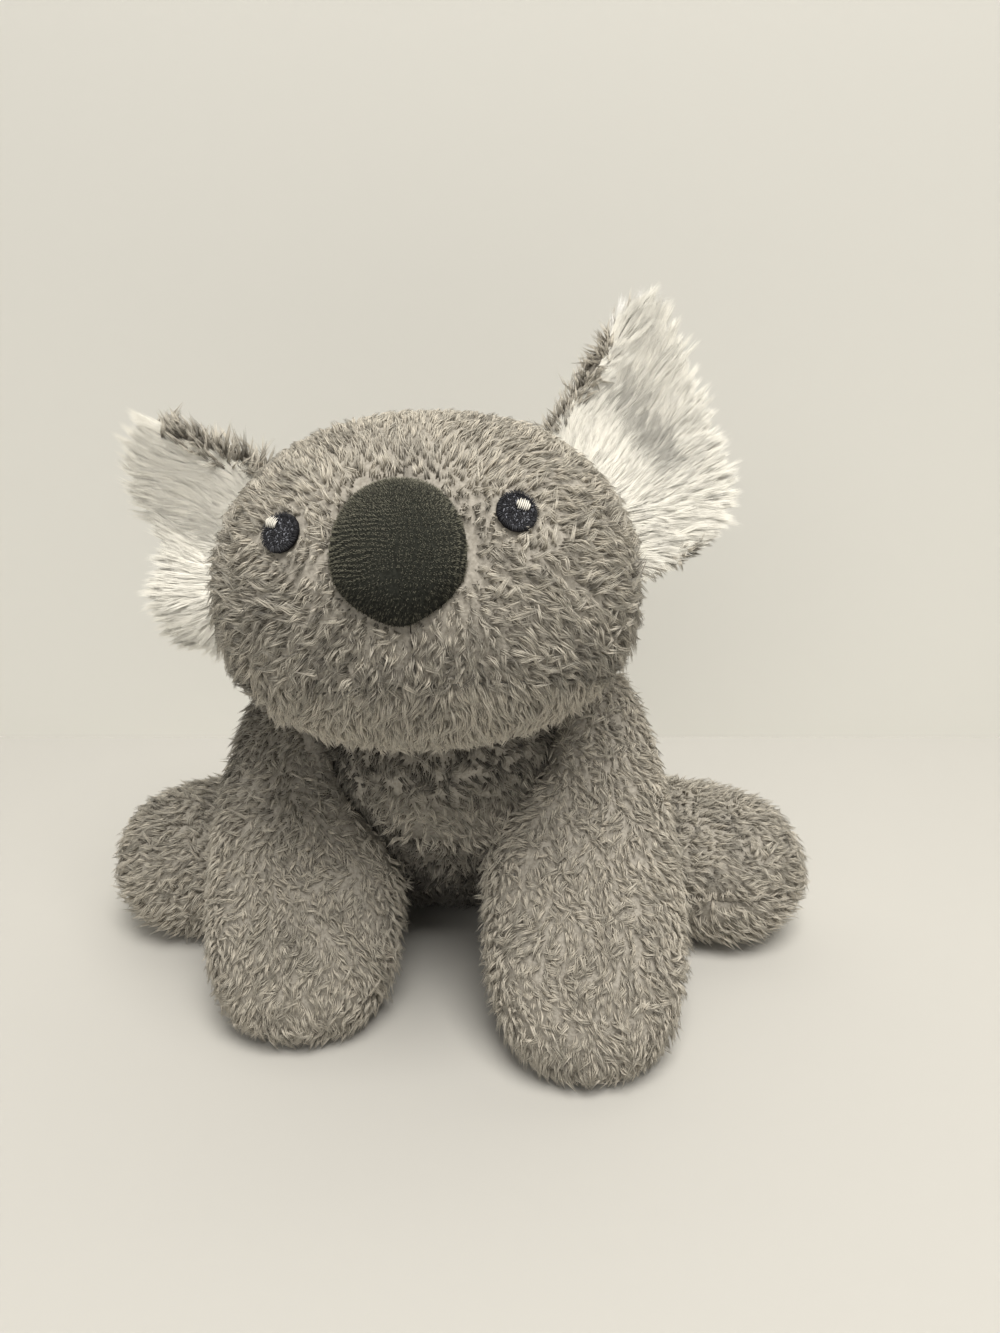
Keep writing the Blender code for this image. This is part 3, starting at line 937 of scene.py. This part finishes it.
def make_fur():
    grey = pile_material("pile_grey", *GREY)
    cream = pile_material("pile_cream", *CREAM, roughness=0.5, shade=0.56, sheen=1.0)
    backing = cloth_material("backing_grey", *GREY_CLOTH)
    coats = [
        Coat("head_face_left", "head", FUR, lay_face, shade_face, fit_face, calm=calm_face),
        Coat("head_face_right", "head", FUR, lay_face, shade_face, fit_face, calm=calm_face),
        Coat("head_back_panel", "head", TRUNK_FUR, lay_back, even(0.25)),
        Coat("head_chin_panel", "head", CHIN_FUR, lay_chin, even(0.12)),
        Coat("torso_belly_panel", "torso", TRUNK_FUR, lay_chest, shade_chest, fit_chest, lift=lift_chest),
        Coat("torso_back_panel", "torso", TRUNK_FUR, lay_trunk, even(0.30)),
    ]
    rims = {}
    brims = []
    for side in SIDES:
        arm, leg, ear = f"arm_{side}", f"leg_{side}", f"ear_{side}"
        lay_arm = lay_limb(SHOULDERS[side], PAWS[side])
        lay_leg = lay_limb(HIPS[side], FEET[side])
        made = Ear(side)
        rims[ear + "_inner"] = rim_material(f"backing_cream_{side}", made, *INNER_CLOTH)
        coats += [
            Coat(arm + "_upper_panel", arm, FUR, lay_arm, shade_arm),
            Coat(arm + "_under_panel", arm, UNDER_FUR, lay_arm, even(0.22)),
            Coat(leg + "_top_panel", leg, FUR, lay_leg, shade_leg, fit_leg),
            Coat(leg + "_sole_panel", leg, UNDER_FUR, lay_leg, even(0.12)),
            Coat(ear + "_back", ear, EAR_FUR, made.lay_back, even(0.32), made.fit_back),
            Coat(ear + "_inner", ear, SILK[side], made.lay_silk, made.shade_silk, made.fit_silk),
        ]
        brims.append(Coat(ear + "_inner", ear, BRIM_FUR, made.lay_back, even(0.32), made.fit_brim))
    for seed, coat in enumerate(coats, 100):
        silky = coat.node in rims
        cloth = skin(coat.node, "_cloth", rims[coat.node] if silky else backing, coat.body)
        not coat.node.startswith("ear")
        grow(coat.node + "_pile", coat, cream if silky else grey, seed)
    for brim in brims:
        grow(brim.body + "_brim_pile", brim, grey, 200)


# Nose


def on_nose(p):
    """A place on the nose as across and up from its middle, in millimetres."""
    return (p - NOSE_AT) @ NOSE_ACROSS / MM, (p - NOSE_AT) @ NOSE_UP / MM


def dart(p):
    """How near a place is to one of the two short pulled creases low on the nose."""
    x, y = on_nose(p)
    near = []
    for middle, level, half in DARTS:
        line = level - 0.5 * ((x - middle) / half) ** 2
        near.append(bell(y - line, DART_WIDE) * (np.abs(x - middle) < half))
    return np.maximum.reduce(near)


def ribs(p):
    """From 0 between the nap's ribs to 1 on them, fading towards the top, broken up low on the right."""
    x, y = on_nose(p)
    waver = FINE(p)[:, 0] * 0.25 + COARSE(p)[:, 1] * 0.45
    slope = 0.28 * np.clip(-x - 1.0, 0.0, 12.0) * step(1.0 - y, 2.0)
    line = np.sin(2 * math.pi * (y + waver + slope - 0.012 * x * x) / RIB_PITCH)
    column = np.sin(2 * math.pi * (x + waver * 1.5 + 0.02 * y * y) / RIB_PITCH)
    row = np.sin(2 * math.pi * (y - waver) / DOT_PITCH)
    rows = 0.5 + 0.5 * np.tanh(2.0 * line + 0.4)
    dots = 0.5 + 0.5 * np.tanh(1.6 * column + 1.2 * row + 0.4)
    broken = np.maximum(step((x - 3.0) / 1.2 - (y - 5.0) / 2.0, 1.0), step(-8.5 - y, 1.0))
    shown = step(7.5 - y, 1.8)
    pattern = rows * (1 - broken) + dots * broken
    return 1 - (1 - pattern) * (0.15 + 0.85 * shown)


def fit_nap(p):
    return (0.26 + 0.74 * ribs(p)) * (1 - 0.8 * dart(p))


def shade_nap(p):
    """Painted shade: deeper between the ribs, in the creases, and towards the nose's lower and upper edges.
    """
    _, y = on_nose(p)
    edges = 0.48 * share(y, -5.0, -14.0) + 0.36 * share(y, 6.0, 12.0)
    return 0.05 + 0.95 * (1 - ribs(p)) + edges + dart(p)


def make_nose():
    ribbed = cloth_material("nose_cloth", *CHARCOAL_CLOTH, 1500.0)
    cloth = skin("nose_cover", "_cloth", ribbed, "head")
    nap = pile_material("nap_charcoal", *CHARCOAL, roughness=0.6, shade=0.98, sheen=0.0)
    coat = Coat("nose_cover", "head", NAP, lay_trunk, shade_nap, fit_nap)
    grow("nose_nap", coat, nap, 300)


# Eyes


def eye_frame(node):
    """The middle of a flat round node, with its outward normal and the head's up."""
    points = np.array([v.co for v in frame["nodes"][node].data.vertices])
    middle = points.mean(0)
    _, _, axes = np.linalg.svd(points - middle)
    z = axes[2] * np.sign(dot(axes[2], middle - HEAD_AT))[0]
    x = unit(np.cross(HEAD_UP, z))
    return middle, x, np.cross(z, x), z


def heading(angle):
    return np.array((math.cos(angle), math.sin(angle)))


def stitches(name, node, runs, width, height, material, seed):
    """Satin stitches on a round node, each a strand of thread that dives at both ends. runs holds (start,
    end, lift, tone)."""
    middle, x, y, z = eye_frame(node)
    rng = np.random.default_rng(seed)

    def place(spot, up):
        return middle + spot[0] * x + spot[1] * y + up * z

    turns = [2 * math.pi * j / STITCH_SIDES for j in range(STITCH_SIDES)]
    mesh = bpy.data.meshes.new(name)
    bm = bmesh.new()
    layer = bm.loops.layers.uv.new(MAP)
    for start, end, lift, tone in runs:
        a, b = place(start, lift), place(end, lift)
        across = np.cross(z, unit(b - a))
        tone = float(np.clip(tone + rng.normal() * 0.05, 0.02, 0.93))
        rings = []
        for i in range(STITCH_RINGS + 1):
            t = i / STITCH_RINGS
            arch = math.sin(math.pi * t) ** 0.5
            centre = a + (b - a) * t + z * height * (arch - 0.9)
            size = width * (0.35 + 0.65 * arch)
            round_it = [across * math.cos(turn) * size + z * math.sin(turn) * size * 0.8 for turn in turns]
            rings.append([bm.verts.new(centre + aside) for aside in round_it])
        for i, j in product(range(STITCH_RINGS), range(STITCH_SIDES)):
            k = (j + 1) % STITCH_SIDES
            face = bm.faces.new((rings[i][j], rings[i][k], rings[i + 1][k], rings[i + 1][j]))
            for loop, (turn, t) in zip(face.loops, ((j, i), (j + 1, i), (j + 1, i + 1), (j, i + 1))):
                loop[layer].uv = (tone + 0.01 * turn, 0.02 + 0.96 * t / STITCH_RINGS)
        for ring in (rings[0][::-1], rings[-1]):
            face = bm.faces.new(ring)
            for turn, loop in zip(turns, face.loops):
                loop[layer].uv = (tone + 0.01 * math.cos(turn) + 0.01, 0.03 + 0.01 * math.sin(turn))
    bmesh.ops.recalc_face_normals(bm, faces=bm.faces)
    bm.to_mesh(mesh)
    bm.free()
    mesh.shade_smooth()
    return new_piece(name, mesh, material, "head")


def eye_fill(radius, rng):
    """Short stitches at many bearings, most of them dark and some pale with a painted sheen."""
    runs = []
    rows = int(radius / FILL_PITCH)
    for row, column in product(range(-rows, rows + 1), repeat=2):
        even_spot = np.array((row + 0.5 * (column % 2), column))
        spot = (even_spot + rng.uniform(-0.35, 0.35, 2)) * FILL_PITCH
        if np.linalg.norm(spot) < radius:
            half = heading(rng.normal() * 0.7 + 0.9) * rng.uniform(0.30, 0.55) * MM
            tone = rng.uniform(0.40, 0.90) if rng.random() < 0.22 else rng.uniform(0.02, 0.06)
            runs.append((spot - half, spot + half, rng.uniform(0.45, 0.62) * MM, tone))
    return runs


def eye_ring(radius, rng):
    """Satin stitches side by side round the edge, a little uneven outside."""
    runs = []
    for k in range(RING_STITCHES):
        turn = 2 * math.pi * (k + rng.uniform(-0.2, 0.2)) / RING_STITCHES
        spot = heading(turn)
        lean = np.array((-spot[1], spot[0])) * 0.25 * MM
        outer = radius * rng.uniform(0.99, 1.07)
        runs.append((spot * radius * 0.74 - lean, spot * outer + lean, 0.82 * MM, rng.uniform(0.0, 0.10)))
    return runs


def glint_fill(radius, rng):
    """A few slanted stitches, a gap between each two, that make a ragged pale dot."""
    runs = []
    slant = heading(GLINT_SLANT)
    beside = np.array((slant[1], -slant[0]))
    for k in range(-3, 4):
        shift = k * GLINT_PITCH
        half = slant * math.sqrt(radius**2 - shift**2) * rng.uniform(0.85, 1.08)
        spot = beside * shift + slant * rng.uniform(-0.15, 0.15) * MM
        lift = rng.uniform(0.25, 0.40) * MM
        runs.append((spot - half, spot + half, lift, rng.uniform(0.2, 0.9)))
    return runs


def make_eyes():
    black = thread_material("thread_black", *BLACK_THREAD)
    cream = thread_material("thread_cream", *CREAM_THREAD)
    felt = cloth_material("eye_ground", *BLACK_CLOTH, 2500.0)
    for side in SIDES:
        eye, glint = "eye_" + side, "eye_glint_" + side
        skin(eye, "_ground", felt, "head")
        rng = np.random.default_rng(40)
        runs = eye_fill(EYE_R * 0.86, rng) + eye_ring(EYE_R, rng)
        stitches(eye + "_stitches", eye, runs, 0.16 * MM, 0.32 * MM, black, 7)
        runs = glint_fill(GLINT_R, rng)
        made = stitches(glint + "_stitches", glint, runs, 0.23 * MM, 0.42 * MM, cream, 9)
        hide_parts(glint)


# Fillings


def finish_fillings():
    fibre = fibre_material("loose_filling", *FIBRE)
    for name, obj in frame["nodes"].items():
        if name.endswith("stuffing"):
            obj.material_slots[0].material = fibre


# Room and light


def make_camera():
    data = bpy.data.cameras.new("camera")
    data.lens = CAMERA_LENS
    camera = bpy.data.objects.new("camera", data)
    camera.location = CAMERA_AT
    camera.rotation_euler = (math.radians(90 - CAMERA_PITCH), 0.0, 0.0)
    bpy.context.scene.collection.objects.link(camera)
    bpy.context.scene.camera = camera


def make_light(name, at, target, size, power, colour):
    data = bpy.data.lights.new(name, "AREA")
    data.shape = "DISK"
    data.size = size
    data.energy = power
    data.color = colour
    obj = bpy.data.objects.new(name, data)
    obj.location = at
    obj.rotation_euler = (Vector(target) - Vector(at)).to_track_quat("-Z", "Y").to_euler()
    bpy.context.scene.collection.objects.link(obj)


def make_world():
    """Even light from all round, and a pale room where nothing else is seen."""
    world = bpy.data.worlds.new("room")
    world.use_nodes = True
    tree = world.node_tree
    rays = tree.nodes.new("ShaderNodeLightPath")
    seen = Val(tree, rays.outputs["Is Camera Ray"]) + Val(tree, rays.outputs["Is Glossy Ray"])
    seen = (seen + Val(tree, rays.outputs["Is Transmission Ray"])).clipped()
    background = tree.nodes["Background"]
    background.inputs["Color"].default_value = (1.0, 0.97, 0.91, 1.0)
    plug(tree, background.inputs["Strength"], seen * 0.60 + 0.16)
    bpy.context.scene.world = world


def screen_material(name, low, high):
    """Matt paint, seen from its front only, whose tone changes with height as a painted shade."""
    made = Shader(name, 0.9)
    tint = made.noise(3.0)
    _, _, height = made.parts(made.where())
    colour = made.mix(made.ramp(height, 0.0, WALL_CHANGE), low, high)
    made.set("Base Color", made.mix(tint * 0.12, colour, tuple(c * 0.9 for c in low)))
    behind = made.add("NewGeometry", {}, {}, "Backfacing")
    clear = made.add("BsdfTransparent", {}, {})
    front = Val(made.tree, made.surface.outputs[0])
    one_sided = made.add("MixShader", {}, {0: behind, 1: front, 2: clear})
    plug(made.tree, made.tree.nodes["Material Output"].inputs["Surface"], one_sided)
    return made.material


def make_screen(name, place, low, high):
    """A large flat square of the room."""
    mesh = bpy.data.meshes.new(name)
    bm = bmesh.new()
    bmesh.ops.create_grid(bm, x_segments=1, y_segments=1, size=ROOM_SIZE / 2, matrix=place)
    bm.to_mesh(mesh)
    bm.free()
    obj = bpy.data.objects.new(name, mesh)
    bpy.context.scene.collection.objects.link(obj)
    mesh.materials.append(screen_material(name, low, high))


def make_stage():
    """A pale table, the pale wall behind it, and soft light from above and from the right."""
    upright = Matrix.Translation((0, WALL_BACK, 0)) @ Matrix.Rotation(math.radians(90), 4, "X")
    make_screen("floor", Matrix.Identity(4), (0.565, 0.556, 0.530), (0.565, 0.556, 0.530))
    make_screen("wall", upright, (0.760, 0.755, 0.715), (0.660, 0.655, 0.622))
    make_world()
    make_light("key", (0.22, -0.68, 1.58), (0.0, 0.0, 0.05), 1.0, 32.0, (1.0, 0.965, 0.90))
    make_light("fill", (-0.55, -1.65, 1.05), (0.0, 0.0, 0.08), 1.2, 5.5, (1.0, 0.965, 0.91))
    bpy.context.scene.view_settings.view_transform = "Standard"


make_camera()
make_stage()
make_fur()
make_nose()
make_eyes()
finish_fillings()
